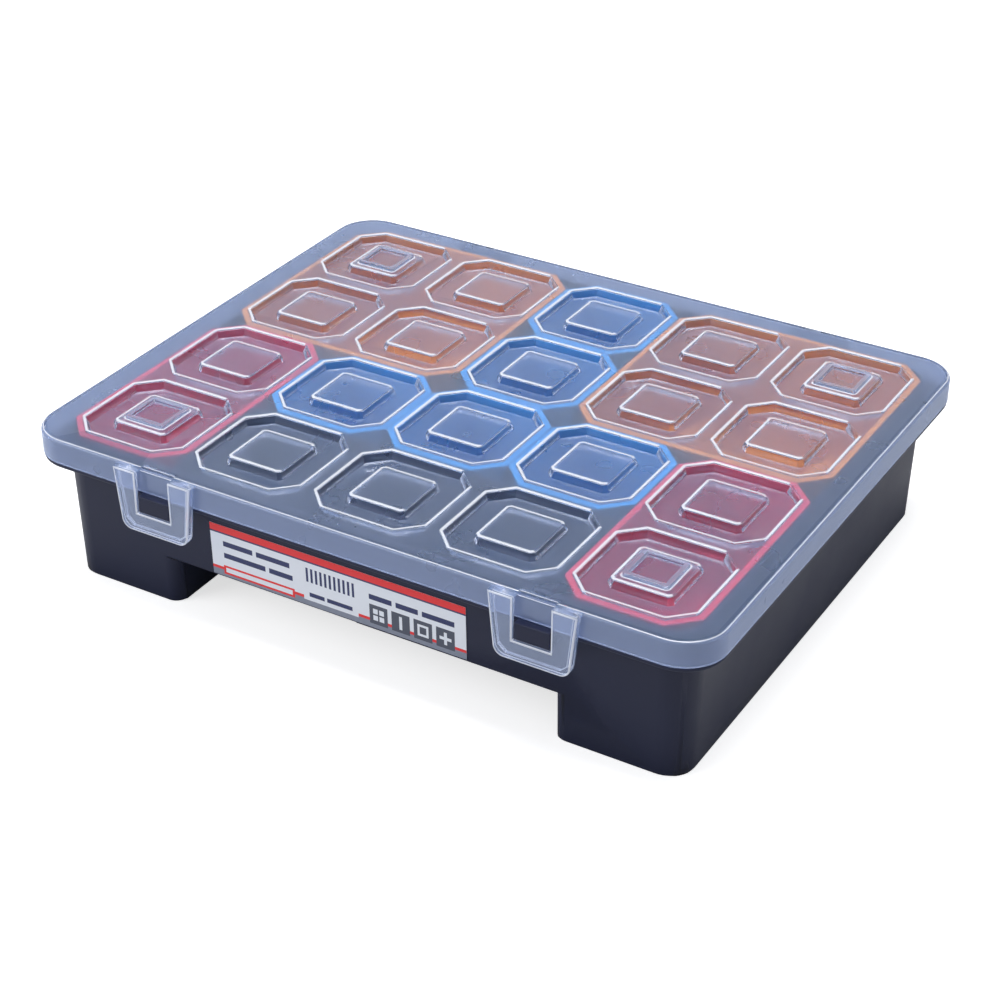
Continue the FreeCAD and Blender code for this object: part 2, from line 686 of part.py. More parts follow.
def make_bin(label, column, row, wide, deep):
    """Tapered bin with cut corners and an outward rim, over a block of cells."""
    middle_x = S.cell_pitch * (column + wide / 2 - COLUMNS / 2)
    middle_y = S.cell_pitch * (row + deep / 2 - ROWS / 2)
    body = new_body(label, middle_x, grid_centre + middle_y, floor_top)
    zero = as_dim(0)
    rim_x = S.cell_pitch * (wide / 2) - S.bin_gap
    rim_y = S.cell_pitch * (deep / 2) - S.bin_gap

    def inset(sketch, distance):
        """Draws the rim's outline moved in by a distance, measured square to every side."""
        cut = moved_chamfer(S.bin_chamfer, -distance)
        draw_octagon(sketch, zero, zero, rim_x - distance, rim_y - distance, cut)

    outside = new_sketch(body, "bin_outside", S.bin_height)
    inset(outside, S.bin_rim)
    pad(body, outside, S.bin_height, reverse=True, taper=-S.bin_draft)
    rim = new_sketch(body, "bin_rim", S.bin_height - S.bin_rim_wall)
    inset(rim, as_dim(0))
    pad(body, rim, S.bin_rim_wall)
    inside = new_sketch(body, "bin_inside", S.bin_height)
    inset(inside, S.bin_rim + S.bin_wall)
    pocket(body, inside, S.bin_height - S.bin_floor, taper=-S.bin_draft)


def make_label():
    """Paper label glued to the leaning front wall, between the notch and the flange."""
    low = S.notch_height + S.label_rise
    label_height = flange_low - S.label_headroom - low
    body = new_body("front_label", S.label_shift, grid_centre - ground_y - low * lean_per_height, low)
    bind(body, "Placement.Rotation.Angle", S.tray_draft)
    body.Placement.Rotation.Axis = FreeCAD.Vector(1, 0, 0)
    sheet_outline = new_sketch(body, "label_sheet", S.label_glue, "XZ_Plane")
    half = S.label_width / 2
    draw_rectangle(sheet_outline, -half, 0, half, label_height)
    pad(body, sheet_outline, S.label_sheet)


def check_document():
    doc.recompute()
    broken = [item.Label for item in doc.Objects if {"Invalid", "Error"} & set(item.State)]
    if broken:
        raise RuntimeError(f"failed objects: {', '.join(broken)}")
    for part in sub_parts:
        if part.Shape.isNull() or not part.Shape.isValid() or len(part.Shape.Solids) != 1:
            raise RuntimeError(f"{part.Label} is not one sound solid")


make_tray()
make_lid()
for side_name, side in (("left", -1), ("right", 1)):
    make_latch(f"latch_{side_name}", side)
    make_pin(f"hinge_pin_{side_name}", side)
for entry in BINS:
    make_bin(*entry)
make_label()
check_document()

os.makedirs("parts", exist_ok=True)
for part in sub_parts:
    part.Shape.exportStep(f"parts/{part.Label}.step")
    box = part.Shape.BoundBox
    print(f"{part.Label}: {box.XLength:.2f} x {box.YLength:.2f} x {box.ZLength:.2f} mm")
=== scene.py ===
"""Lidded organizer box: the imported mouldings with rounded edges, their plastics, the label's print and a studio."""
import json
import math
from collections import namedtuple

import bmesh
import bpy
from bpy.props import FloatProperty, FloatVectorProperty, PointerProperty
from mathutils import Matrix, Vector
from mathutils.geometry import intersect_point_line

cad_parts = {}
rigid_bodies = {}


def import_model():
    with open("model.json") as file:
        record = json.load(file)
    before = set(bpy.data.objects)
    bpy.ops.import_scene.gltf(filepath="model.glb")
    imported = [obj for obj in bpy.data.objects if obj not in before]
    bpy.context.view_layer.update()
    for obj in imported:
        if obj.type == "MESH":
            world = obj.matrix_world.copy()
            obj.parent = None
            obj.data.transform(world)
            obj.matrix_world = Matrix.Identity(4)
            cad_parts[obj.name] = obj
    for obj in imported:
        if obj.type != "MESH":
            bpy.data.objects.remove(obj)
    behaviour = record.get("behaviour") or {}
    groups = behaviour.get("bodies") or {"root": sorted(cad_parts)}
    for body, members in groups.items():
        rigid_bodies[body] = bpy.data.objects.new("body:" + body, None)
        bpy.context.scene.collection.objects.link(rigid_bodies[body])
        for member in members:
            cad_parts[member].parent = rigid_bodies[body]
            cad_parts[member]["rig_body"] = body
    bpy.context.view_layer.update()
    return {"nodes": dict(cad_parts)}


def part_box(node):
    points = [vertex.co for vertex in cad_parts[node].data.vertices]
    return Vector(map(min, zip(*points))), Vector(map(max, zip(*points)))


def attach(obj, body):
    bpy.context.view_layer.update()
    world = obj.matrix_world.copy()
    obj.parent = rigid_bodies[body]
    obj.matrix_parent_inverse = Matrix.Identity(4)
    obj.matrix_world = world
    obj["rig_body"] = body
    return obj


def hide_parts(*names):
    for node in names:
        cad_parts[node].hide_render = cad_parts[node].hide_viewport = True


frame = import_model()

bl_info = {
    "name": "Organizer Box",
    "version": (1, 0, 0),
    "blender": (4, 5, 0),
    "location": "3D View > Sidebar > Organizer",
    "description": "Dresses a lidded organizer box and sets up its studio",
    "category": "Object",
}

MM = 0.001
MERGE = 0.004 * MM  # points closer than this are one
CUT_DIST = MERGE / 10  # points this close to a cutting plane lie on it
FLAT_TURN = math.radians(1.0)  # faces that turn less are joined
SHARP_TURN = math.radians(24.0)  # edges that turn more are rounded
ACROSS, ALONG, UP = Vector((1, 0, 0)), Vector((0, 1, 0)), Vector((0, 0, 1))
BINS = [n for n in frame["nodes"] if "_bin_" in n]
LATCHES = ("latch_left", "latch_right")
PINS = ("hinge_pin_left", "hinge_pin_right")


def linear(code):
    """sRGB hex to the linear RGBA that shaders take."""
    parts = [int(code[i:i + 2], 16) / 255 for i in (1, 3, 5)]
    return (*[p / 12.92 if p <= 0.04045 else ((p + 0.055) / 1.055) ** 2.4 for p in parts], 1.0)


def colour(name, description, code):
    return FloatVectorProperty(
        name=name, description=description, subtype="COLOR", size=4, min=0, max=1, default=linear(code))


def length(name, description, millimetres):
    return FloatProperty(
        name=name, description=description, default=millimetres * MM, min=0, unit="LENGTH", precision=5)


class OrganizerSizes(bpy.types.PropertyGroup):
    """Edge roundings that the mouldings get."""
    crown_edge: length("Crown edge", "Rounding of the lid's upper edges, round each recess and plateau", 0.25)
    # Painted highlight: this band takes the white edge resin, partly the resin's milkiness and partly a painted
    # highlight line.
    crown_highlight_band: length("Crown band", "Milky band on the flats beside those edges", 0.7)
    lid_edge: length("Lid edge", "Rounding of the lid's other edges and the latches' edges", 0.3)
    # Painted highlight: this band takes the latches' white edge resin, partly milky resin and partly a painted
    # highlight line.
    latch_highlight_band: length("Latch band", "Milky band on the latches' fronts, inside their edges", 0.3)
    bin_edge: length("Bin edge", "Rounding of the bins' edges", 0.35)
    tray_edge: length("Tray edge", "Rounding of the tray's edges", 0.4)
    pin_edge: length("Pin edge", "Rounding of the hinge pins' ends", 0.3)


class OrganizerColours(bpy.types.PropertyGroup):
    """Colours of the resins, the label's inks and the studio."""
    tray: colour("Tray", "Dark resin of the tray", "#191D34")
    tray_scuff: colour("Tray scuff", "Paler tone where the tray's skin is rubbed", "#20253D")
    lid: colour("Lid", "Natural resin of the lid", "#F3F6FF")
    lid_border: colour("Lid border", "Resin of the lid's border, outside the recesses", "#CDD3E2")
    # Painted shade: a darker tone for the leaning walls, where the same resin lies in shade.
    lid_wall: colour("Lid walls", "Resin of the leaning walls of recesses and plateaus", "#E4E8F6")
    skirt: colour("Skirt", "Milky resin of the lid's skirt and stacking rings", "#C2CEEA")
    skirt_depth: colour("Skirt depth", "Tone of the light that comes through the skirt", "#8C99B8")
    lid_haze: colour("Lid haze", "Cool bloom on the frosted lid", "#70A8F0")
    lid_mirror: colour("Lid mirror", "Dulled reflection of the lid's skin", "#62789E")
    lid_shade: colour("Lid shade", "Light that one face of the lid lets through", "#E4E7EE")
    orange: colour("Orange bins", "Resin of the large bins", "#D0801E")
    orange_deep: colour("Orange, deep", "Darker flow marks in the orange", "#C07218")
    red: colour("Red bins", "Resin of the bins at the front corners", "#D01A3C")
    red_deep: colour("Red, deep", "Darker flow marks in the red", "#BC1634")
    blue: colour("Blue bins", "Resin of the small bins", "#028CCC")
    blue_deep: colour("Blue, deep", "Darker flow marks in the blue", "#027CBA")
    steel: colour("Hinge pins", "Drawn steel wire", "#B9BBC0")
    paper: colour("Label paper", "Coated paper of the label", "#DFE4EE")
    ink_red: colour("Red ink", "Bands of the label", "#E0262C")
    ink_navy: colour("Navy ink", "Line and bars of the label", "#1F2A5C")
    ink_grey: colour("Grey ink", "Foot strip of the label", "#7D8496")
    ink_slate: colour("Slate ink", "Tiles of the label", "#454B5C")
    floor: colour("Floor", "Pale studio floor", "#EEEEEE")
    room: colour("Room", "Tint of the room's light", "#F7FAFF")


class OrganizerStage(bpy.types.PropertyGroup):
    """The camera of the photograph and the studio's light levels."""
    azimuth: FloatProperty(
        name="Azimuth", description="Camera round to the right of the front", subtype="ANGLE",
        default=math.radians(30.394))
    elevation: FloatProperty(
        name="Elevation", description="Camera above the horizon", subtype="ANGLE", default=math.radians(31.316))
    roll: FloatProperty(
        name="Roll", description="Camera turned about its own axis", subtype="ANGLE", default=math.radians(0.243))
    distance: FloatProperty(
        name="Distance", description="Camera to the point it aims at", unit="LENGTH", default=0.826827)
    aim: FloatVectorProperty(
        name="Aim", description="Point in the middle of the picture", subtype="TRANSLATION", size=3,
        default=(0.010183, -0.022864, 0.030))
    lens: FloatProperty(name="Lens", description="Focal length, in millimetres", default=81.062)
    room: FloatProperty(name="Room light", description="Level of the white room round the object", default=0.42)
    key: FloatProperty(name="Top light", description="Power of the softbox overhead", unit="POWER", default=11.0)
    fill: FloatProperty(
        name="Fill light", description="Power of the panel at the front left", unit="POWER", default=6.5)
    rim: FloatProperty(name="Back light", description="Power of the strip behind", unit="POWER", default=1.5)


WHITE = linear("#FFFFFF")
POLYPROPYLENE_IOR, PAPER_IOR = 1.49, 1.5
NOISE_LOW, NOISE_HIGH = 0.3, 0.7  # most of a noise lies between these
FACTOR, TONE_A, TONE_B, BLEND = 0, 6, 7, 2  # sockets of a Mix node set to colours


def add_node(tree, kind, inputs=None, **settings):
    """Adds a node; inputs gives each socket a value, or the output socket that feeds it."""
    node = tree.nodes.new(kind)
    for name, value in settings.items():
        setattr(node, name, value)
    for name, value in (inputs or {}).items():
        if isinstance(value, bpy.types.NodeSocket):
            tree.links.new(value, node.inputs[name])
        else:
            node.inputs[name].default_value = value
    return node


def start_material(name):
    """A material with no nodes, and its tree."""
    material = bpy.data.materials.new(name)
    material.use_nodes = True
    material.node_tree.nodes.clear()
    return material, material.node_tree


def close_material(material, tree, shader):
    add_node(tree, "ShaderNodeOutputMaterial", {"Surface": shader.outputs[0]})
    return material


def skin(tree, patch, roughness, grain, depth, strength, squeeze=(1.0, 1.0, 1.0)):
    """Patchiness, roughness and relief of a surface, as sockets.

    Patch and grain are each the width of a noise's features, in millimetres, and its detail. Roughness is the least
    and the most, depth is the relief's height in millimetres, and squeeze is how dense the noises are on each axis."""
    at = add_node(tree, "ShaderNodeTexCoord").outputs["Object"]
    at = add_node(tree, "ShaderNodeMapping", {"Vector": at, "Scale": squeeze}).outputs["Vector"]
    patches, grains = (
        add_node(tree, "ShaderNodeTexNoise", {"Vector": at, "Scale": 1 / (breadth * MM), "Detail": detail})
        for breadth, detail in (patch, grain))
    dullness = add_node(tree, "ShaderNodeMapRange", {
        "Value": patches.outputs["Fac"], "From Min": NOISE_LOW, "From Max": NOISE_HIGH,
        "To Min": roughness[0], "To Max": roughness[1]})
    relief = add_node(tree, "ShaderNodeBump", {
        "Height": grains.outputs["Fac"], "Distance": depth * MM, "Strength": strength})
    return patches.outputs["Fac"], dullness.outputs["Result"], relief.outputs["Normal"]


def tray_plastic(colours):
    # Polypropylene moulded in a spark-eroded tool: nearly black, a broad dull sheen and an even grain.
    # The real grain, near 0.15 mm, is too fine to show and is drawn at 0.6 mm.
    material, tree = start_material("polypropylene_black_textured")
    rubbed, dullness, relief = skin(
        tree, patch=(38, 4), roughness=(0.36, 0.46), grain=(0.6, 2), depth=0.05, strength=0.35)
    tones = add_node(
        tree, "ShaderNodeMix", {FACTOR: rubbed, TONE_A: colours.tray, TONE_B: colours.tray_scuff}, data_type="RGBA")
    shader = add_node(tree, "ShaderNodeBsdfPrincipled", {
        "Base Color": tones.outputs[BLEND],
        "Roughness": dullness,
        "IOR": POLYPROPYLENE_IOR,
        "Specular IOR Level": 0.25,
        "Normal": relief,
    })
    return close_material(material, tree, shader)


def bin_plastic(name, tone, deep_tone):
    # Pigmented polypropylene from a polished tool: satin, with faint flow marks and a slightly wavy skin.
    material, tree = start_material(name)
    flow, dullness, relief = skin(
        tree, patch=(14, 3), roughness=(0.3, 0.42), grain=(5, 2), depth=0.05, strength=0.2)
    tones = add_node(tree, "ShaderNodeMix", {FACTOR: flow, TONE_A: tone, TONE_B: deep_tone}, data_type="RGBA")
    shader = add_node(tree, "ShaderNodeBsdfPrincipled", {
        "Base Color": tones.outputs[BLEND],
        "Roughness": dullness,
        "IOR": POLYPROPYLENE_IOR,
        "Normal": relief,
    })
    return close_material(material, tree, shader)


# Grades of the lid's resin. Tone and mirror name colours; the rest run from 0 to 1.
Resin = namedtuple("Resin", "place tone mirror clearness roughness waviness shine bloom")
LID_RESINS = (
    Resin("glossy", "lid", "lid_mirror", 0.985, (0.08, 0.14), 0.02, 0.12, 0.05),
    Resin("frosted", "lid", "lid_mirror", 0.985, (0.26, 0.34), 0.06, 0.12, 0.05),
    # Edge: a white milky resin, partly the sheet's own milkiness and partly painted highlight along the edges.
    Resin("edge", "lid", "lid", 0.25, (0.14, 0.2), 0.04, 0.5, 0.0),
    Resin("skirt_inside", "skirt_depth", "lid_mirror", 0.6, (0.26, 0.34), 0.06, 0.12, 0.05),
    Resin("skirt", "skirt", "lid", 0.74, (0.12, 0.2), 0.04, 0.4, 0.05),
    # Wall: a darker, duller copy of the lid's resin, a painted shade on the leaning walls.
    Resin("wall", "lid_wall", "lid_mirror", 0.985, (0.2, 0.28), 0.04, 0.03, 0.0),
    Resin("border", "lid_border", "lid_mirror", 0.985, (0.08, 0.14), 0.02, 0.12, 0.05),
)
LATCH_RESINS = (
    Resin("latch", "lid", "lid_mirror", 0.86, (0.1, 0.16), 0.04, 0.22, 0.08),
    # Latch edge: a white milky resin, partly real milkiness and partly painted highlight.
    Resin("latch_edge", "lid", "lid", 0.35, (0.14, 0.2), 0.04, 0.5, 0.0),
)


def lid_plastic(resin, colours):
    # Natural polypropylene: clear enough to show colours below it, with a cool bloom, and milky where it is thick. The
    # edge resins also add painted highlights as white lines along the edges, and the wall resin paints shade on the
    # leaning walls.
    material, tree = start_material(f"polypropylene_natural_{resin.place}")
    _, dullness, relief = skin(
        tree, patch=(22, 3), roughness=resin.roughness, grain=(3, 2), depth=0.03, strength=resin.waviness)
    body = add_node(tree, "ShaderNodeBsdfPrincipled", {
        "Base Color": getattr(colours, resin.tone),
        "Roughness": dullness,
        "IOR": POLYPROPYLENE_IOR,
        "Specular IOR Level": resin.shine,
        "Specular Tint": getattr(colours, resin.mirror),
        "Transmission Weight": resin.clearness,
        "Sheen Weight": 0.2,
        "Sheen Roughness": 0.4,
        "Sheen Tint": colours.lid_haze,
        "Normal": relief,
    })
    haze = add_node(tree, "ShaderNodeBsdfDiffuse", {"Color": colours.lid_haze})
    hazy = add_node(tree, "ShaderNodeMixShader", {0: resin.bloom, 1: body.outputs[0], 2: haze.outputs[0]})
    # Lamps shine through to the bins, as they do through the real sheet.
    is_lamp = add_node(tree, "ShaderNodeLightPath").outputs["Is Shadow Ray"]
    lamp_side = add_node(tree, "ShaderNodeBsdfTransparent", {"Color": colours.lid_shade})
    both = add_node(tree, "ShaderNodeMixShader", {0: is_lamp, 1: hazy.outputs[0], 2: lamp_side.outputs[0]})
    return close_material(material, tree, both)


def pin_steel(colours):
    # Drawn steel wire: bright, with hair-fine lines along its length, drawn 0.3 mm wide.
    material, tree = start_material("steel_drawn_wire")
    _, dullness, relief = skin(
        tree, patch=(0.3, 2), roughness=(0.22, 0.4), grain=(0.3, 2), depth=0.02, strength=0.3,
        squeeze=(0.03, 1.0, 1.0))
    shader = add_node(tree, "ShaderNodeBsdfPrincipled", {
        "Base Color": colours.steel,
        "Metallic": 1.0,
        "Roughness": dullness,
        "Normal": relief,
    })
    return close_material(material, tree, shader)


def label_ink(name, tone):
    # Coated paper, printed: even colour under a thin gloss, with the paper's soft tooth.
    material, tree = start_material(name)
    _, dullness, relief = skin(
        tree, patch=(1.2, 4), roughness=(0.34, 0.46), grain=(1.2, 4), depth=0.02, strength=0.15)
    shader = add_node(tree, "ShaderNodeBsdfPrincipled", {
        "Base Color": tone,
        "Roughness": dullness,
        "IOR": PAPER_IOR,
        "Normal": relief,
    })
    return close_material(material, tree, shader)


def merged_copy(node, halved=False):
    """A bmesh of a CAD node with its loose triangles joined into whole faces.

    A halved one stays parted along its middle planes, so that no face has to close on itself round an opening."""
    bm = bmesh.new()
    bm.from_mesh(frame["nodes"][node].data)
    bmesh.ops.remove_doubles(bm, verts=bm.verts, dist=MERGE)
    if halved:
        low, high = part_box(node)
        for axis in (ACROSS, ALONG):
            cut = bmesh.ops.bisect_plane(
                bm, geom=[*bm.verts, *bm.edges, *bm.faces], dist=CUT_DIST, plane_co=(low + high) / 2, plane_no=axis)
            for edge in cut["geom_cut"]:
                if isinstance(edge, bmesh.types.BMEdge):
                    edge.seam = True
    bmesh.ops.dissolve_limit(bm, angle_limit=FLAT_TURN, verts=bm.verts, edges=bm.edges, delimit={"SEAM"})
    return bm


def width(face):
    """Mean breadth of a face across its longest edge."""
    return face.calc_area() / max(e.calc_length() for e in face.edges)


def has_room(edge, kept, radius):
    """True where a rounding of the edge ends inside the unrounded edges beside it."""
    for vert in edge.verts:
        along = edge.other_vert(vert).co - vert.co
        for other in vert.link_edges:
            if other in kept or not set(other.link_faces) & set(edge.link_faces):
                continue
            aside = other.other_vert(vert).co - vert.co
            turn = min(along.angle(aside), math.pi / 2)
            if aside.length * math.sin(turn) < radius:
                return False
    return True


def bevel(bm, edges, radius, segments):
    return bmesh.ops.bevel(
        bm, geom=edges, offset=radius, offset_type="OFFSET", segments=segments, profile=0.5, affect="EDGES",
        clamp_overlap=False, loop_slide=False, material=-1)["faces"]


def folds(bm):
    """Corners of the triangles that look away from the face they belong to."""
    bm.normal_update()
    corners = []
    for triangle in bm.calc_loop_triangles():
        a, b, c = (loop.vert.co for loop in triangle)
        if (b - a).cross(c - a).dot(triangle[0].face.normal) < -MERGE ** 2:
            corners += [a.copy(), b.copy(), c.copy()]
    return corners


def reaches(edge, corners, radius):
    """True if the edge comes within two radii of one of the corners."""
    a, b = (v.co for v in edge.verts)
    for corner in corners:
        nearest, share = intersect_point_line(corner, a, b)
        nearest = a if share < 0 else b if share > 1 else nearest
        if (corner - nearest).length < 2 * radius:
            return True
    return False


def round_edges(bm, radius, segments=2, wanted=None):
    """Rounds the sharp edges between faces that have room for it, or those of them that are wanted.

    An edge whose rounding would fold a face stays sharp. Returns the new faces."""
    bm.normal_update()
    bm.edges.index_update()
    roomy = {f: width(f) > radius for f in bm.faces}
    sharp = {
        e for e in bm.edges
        if e.is_manifold and e.calc_face_angle(0) > SHARP_TURN and all(roomy[f] for f in e.link_faces)
        and (not wanted or wanted(e))}
    cramped = True
    while cramped:
        cramped = {e for e in sharp if not has_room(e, sharp, radius)}
        if not cramped:
            chosen = {e.index for e in sharp}
            trial = bm.copy()
            bevel(trial, [e for e in trial.edges if e.index in chosen], radius, segments)
            corners = folds(trial)
            trial.free()
            cramped = {e for e in sharp if reaches(e, corners, radius)}
        sharp -= cramped
    return bevel(bm, [e for e in bm.edges if e in sharp], radius, segments)


def stand_for(node, name, bm, materials):
    """Makes the bmesh a piece that takes the node's place, on its body, with the materials given."""
    for face in bm.faces:
        face.smooth = True
    mesh = bpy.data.meshes.new(name)
    bm.to_mesh(mesh)
    bm.free()
    for material in materials:
        mesh.materials.append(material)
    piece = bpy.data.objects.new(name, mesh)
    bpy.context.scene.collection.objects.link(piece)
    even = piece.modifiers.new("flat_faces_stay_flat", "WEIGHTED_NORMAL")
    even.weight = 100
    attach(piece, frame["nodes"][node]["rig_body"])
    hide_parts(node)
    return piece


class ORGANIZER_OT_tray(bpy.types.Operator):
    """Tray with rounded edges and a textured dark skin"""
    bl_idname = "organizer.tray"
    bl_label = "Tray"

    def execute(self, context):
        bm = merged_copy("base_tray", halved=True)
        round_edges(bm, context.scene.organizer_sizes.tray_edge)
        stand_for("base_tray", "tray_moulding", bm, [tray_plastic(context.scene.organizer_colours)])
        return {"FINISHED"}


class ORGANIZER_OT_bins(bpy.types.Operator):
    """Lift-out bins in three colours"""
    bl_idname = "organizer.bins"
    bl_label = "Bins"

    def execute(self, context):
        colours = context.scene.organizer_colours
        resins = {
            "orange": bin_plastic("polypropylene_orange", colours.orange, colours.orange_deep),
            "red": bin_plastic("polypropylene_red", colours.red, colours.red_deep),
            "blue": bin_plastic("polypropylene_blue", colours.blue, colours.blue_deep),
        }
        for node in BINS:
            bm = merged_copy(node)
            round_edges(bm, context.scene.organizer_sizes.bin_edge)
            stand_for(node, f"{node}_moulding", bm, [resins[node.split("_")[0]]])
        return {"FINISHED"}


# Parts of a face's normal, mostly upward ones, by which the lid's faces are told apart.
RISES = 0.1  # faces of the upper side have more
SIDEWAYS = 0.2  # a face with less looks inwards or outwards
UPRIGHT = 0.5  # the skirt has less, and the label's front has more to the front
CREST = 0.86  # the upper part of the border's rounding has more
LEANING = 0.9  # walls of recesses and plateaus have less
TOP = 0.96  # the border's rounding has less
SQUARE_ON = 0.999  # a flat that looks one way has more that way

RING_WALL = 1.3 * MM  # upper part of the lid that holds only the stacking rings
COLUMNS, ROWS = 5, 4  # cells of the lid
PLATEAU_SHARE = 0.32  # half the side of a plateau's place, in cells
# Painted highlight: edges that lean within this turn of the side away from the light get none.
UNLIT_TURN = math.radians(35.0)  # how far from a dull direction an edge stays clear
FIELD_LOW, FIELD_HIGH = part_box("red_bin_left")[0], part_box("orange_bin_right")[1]
LID_LOW, LID_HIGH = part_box("lid")


def over_bins(at):
    return FIELD_LOW.x < at.x < FIELD_HIGH.x and FIELD_LOW.y < at.y < FIELD_HIGH.y


def on_ring(at):
    return at.z > LID_HIGH.z - RING_WALL


def on_plateau(at):
    """True in the middle of a cell, where the plateau and its walls are."""
    field = FIELD_HIGH - FIELD_LOW
    across = (at.x - FIELD_LOW.x) / field.x * COLUMNS % 1 - 0.5
    along = (at.y - FIELD_LOW.y) / field.y * ROWS % 1 - 0.5
    return max(abs(across), abs(along)) < PLATEAU_SHARE


def faces_up(edge):
    return all(f.normal.z > RISES for f in edge.link_faces)


def on_crown(edge):
    """True for a level outward edge of the lid's upper side, over the bins."""
    a, b = (v.co for v in edge.verts)
    return abs(a.z - b.z) < MERGE and edge.is_convex and faces_up(edge) and over_bins(a)


def edge_bands(bm, rounded, breadth, facing):
    """Narrow bands along the roundings given, on the flat faces that look that way; returns them."""
    bm.normal_update()
    beside = {f for r in rounded for e in r.edges for f in e.link_faces}.difference(rounded)
    flats = [f for f in bm.faces if f in beside and f.normal.dot(facing) > SQUARE_ON]
    return bmesh.ops.inset_region(
        bm, faces=flats, thickness=breadth, use_boundary=True, use_even_offset=True)["faces"]


def is_milky_and_highlit(face, curved):
    """True for a rounding or band over the bins, which takes the milky resin with a painted highlight, but for the
    edges that catch no light.

    Those are each plateau's right side and each recess's cut at the back right. Curved holds the roundings."""
    at = face.calc_center_median()
    if not over_bins(at):
        return False
    if on_ring(at):
        return True
    beside = dict.fromkeys((face, *(f for e in face.edges for f in e.link_faces)))
    lean = sum((f.normal.xy for f in beside if f in curved), Vector((0, 0)))
    # Painted highlight: none on the edges that lean away from the light, a plateau's right side and a recess's back
    # right cut.
    dull = Vector((1, 0)) if on_plateau(at) else Vector((-1, -1))
    return lean.length == 0 or lean.angle(dull) >= UNLIT_TURN


def is_inside(face):
    """True for a lid face that looks at the bins: downwards, or inwards from the skirt."""
    if abs(face.normal.z) > SIDEWAYS:
        return face.normal.z < 0
    out = face.calc_center_median() - (LID_LOW + LID_HIGH) / 2
    return face.normal.x * out.x + face.normal.y * out.y < 0


def lid_place(face):
    """Name of the resin that a face of the lid takes if it isn't milky."""
    at, rise = face.calc_center_median(), face.normal.z
    if is_inside(face):
        return "skirt_inside" if abs(rise) < UPRIGHT and not over_bins(at) else "frosted"
    if on_ring(at):
        return "skirt"
    if over_bins(at):
        # Painted shade: the leaning walls over the bins take the darker wall resin.
        return "wall" if rise < LEANING else "glossy"
    # Painted highlight: the upper part of the border's rounding takes the white edge resin.
    if rise < TOP:
        return "edge" if rise > CREST else "skirt"
    return "border"


class ORGANIZER_OT_lid(bpy.types.Operator):
    """Frosted lid, glossy outside, dull inside, milky with painted highlights along its upper edges and with painted
    shade on its leaning walls
    """
    bl_idname = "organizer.lid"
    bl_label = "Lid"

    def execute(self, context):
        colours, sizes = context.scene.organizer_colours, context.scene.organizer_sizes
        slots = {resin.place: i for i, resin in enumerate(LID_RESINS)}
        bm = merged_copy("lid")
        rounded = round_edges(bm, sizes.crown_edge, 3, on_crown)
        curved = set(rounded)
        # Painted highlight: roundings and bands over the bins take the white edge resin, but for the sides turned away
        # from the light.
        for face in rounded + edge_bands(bm, rounded, sizes.crown_highlight_band, UP):
            if is_milky_and_highlit(face, curved):
                face.material_index = slots["edge"]
        round_edges(bm, sizes.lid_edge, 2, lambda edge: not faces_up(edge))
        bm.normal_update()
        for face in bm.faces:
            if face.material_index != slots["edge"]:
                face.material_index = slots[lid_place(face)]
        stand_for("lid", "lid_moulding", bm, [lid_plastic(resin, colours) for resin in LID_RESINS])
        return {"FINISHED"}


class ORGANIZER_OT_latches(bpy.types.Operator):
    """Two latches that hang from the lid's front edge"""
    bl_idname = "organizer.latches"
    bl_label = "Latches"

    def execute(self, context):
        colours, sizes = context.scene.organizer_colours, context.scene.organizer_sizes
        resins = [lid_plastic(resin, colours) for resin in LATCH_RESINS]
        for node in LATCHES:
            bm = merged_copy(node)
            rounded = round_edges(bm, sizes.lid_edge)
            # Roundings and bands take the white edge resin, partly milky resin and partly painted highlight.
            for face in rounded + edge_bands(bm, rounded, sizes.latch_highlight_band, -ALONG):
                face.material_index = 1
            stand_for(node, f"{node}_moulding", bm, resins)
        return {"FINISHED"}


class ORGANIZER_OT_pins(bpy.types.Operator):
    """Steel pins of the lid's hinges"""
    bl_idname = "organizer.pins"
    bl_label = "Hinge pins"

    def execute(self, context):
        steel = pin_steel(context.scene.organizer_colours)
        for node in PINS:
            bm = merged_copy(node)
            round_edges(bm, context.scene.organizer_sizes.pin_edge)
            stand_for(node, f"{node}_wire", bm, [steel])
        return {"FINISHED"}


# The label's print, as (ink, left, right, foot, head) in shares of its width and height, later ones on top.
PRINT = [
    ("grey", 0.0, 1.0, 0.0, 0.125),
    ("red", 0.0, 1.0, 0.125, 0.18),
    ("navy", 0.0, 1.0, 0.835, 0.865),
    ("red", 0.0, 1.0, 0.865, 1.0),
    ("navy", 0.05, 0.17, 0.60, 0.70),
    ("navy", 0.185, 0.32, 0.60, 0.70),
    ("navy", 0.05, 0.22, 0.37, 0.47),
    ("navy", 0.235, 0.33, 0.37, 0.47),
    ("red", 0.045, 0.335, 0.05, 0.22),
    ("paper", 0.054, 0.326, 0.09, 0.18),
    ("paper", 0.372, 0.588, 0.10, 0.34),
    ("navy", 0.395, 0.455, 0.18, 0.26),
    ("navy", 0.465, 0.565, 0.18, 0.26),
    ("navy", 0.632, 0.72, 0.54, 0.64),
    ("navy", 0.735, 0.82, 0.54, 0.64),
    ("navy", 0.835, 0.957, 0.54, 0.64),
]
BARS = 11
BAR_FIELD = (0.385, 0.575, 0.46, 0.73)
TILES = (0.632, 0.717, 0.802, 0.887)
TILE_WIDTH = 0.07
TILE_FIELD = (0.08, 0.45)
